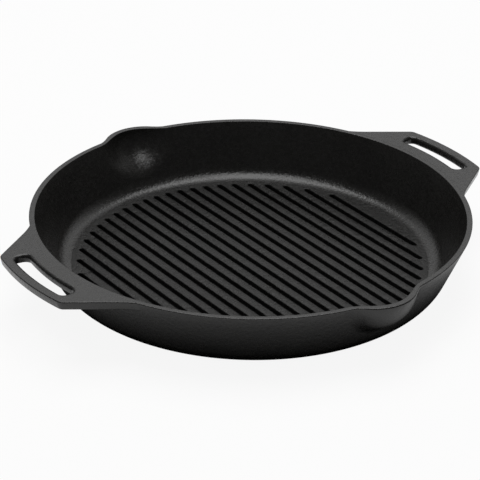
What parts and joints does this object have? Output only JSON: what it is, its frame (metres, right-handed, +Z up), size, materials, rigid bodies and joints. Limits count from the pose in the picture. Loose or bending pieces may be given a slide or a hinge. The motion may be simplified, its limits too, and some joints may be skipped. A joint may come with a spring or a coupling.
{
  "type": "grill pan",
  "caption": "Round cast-iron grill pan with a ribbed floor, opposite pouring spouts and opposite loop handles level with the rim.",
  "frame": {"origin": "centre of the flat base", "axes": "+Z up out of the pan, +X along the line through the two handles, -Y towards the front spout"},
  "size_m": [0.4156, 0.3734, 0.0524],
  "materials": {
    "body_iron": "matte seasoned cast iron with a fine sand-cast grain",
    "grill_iron": "seasoned cooking surface, slightly darker, with the same fine grain"
  },
  "bodies": {
    "root": {"floor_plate": "grill_iron", "floor_border": "grill_iron", "rib_01": "grill_iron", "rib_02": "grill_iron", "rib_03": "grill_iron", "rib_04": "grill_iron", "rib_05": "grill_iron", "rib_06": "grill_iron", "rib_07": "grill_iron", "rib_08": "grill_iron", "rib_09": "grill_iron", "rib_10": "grill_iron", "rib_11": "grill_iron", "rib_12": "grill_iron", "rib_13": "grill_iron", "rib_14": "grill_iron", "rib_15": "grill_iron", "rib_16": "grill_iron", "rib_17": "grill_iron", "rib_18": "grill_iron", "rib_19": "grill_iron", "rib_20": "grill_iron", "rib_21": "grill_iron", "rib_22": "grill_iron", "left_wall": "body_iron", "right_wall": "body_iron", "front_left_wall": "body_iron", "front_right_wall": "body_iron", "rear_left_wall": "body_iron", "rear_right_wall": "body_iron", "front_spout": "body_iron", "rear_spout": "body_iron", "left_handle": "body_iron", "right_handle": "body_iron"}
  },
  "joints": []
}
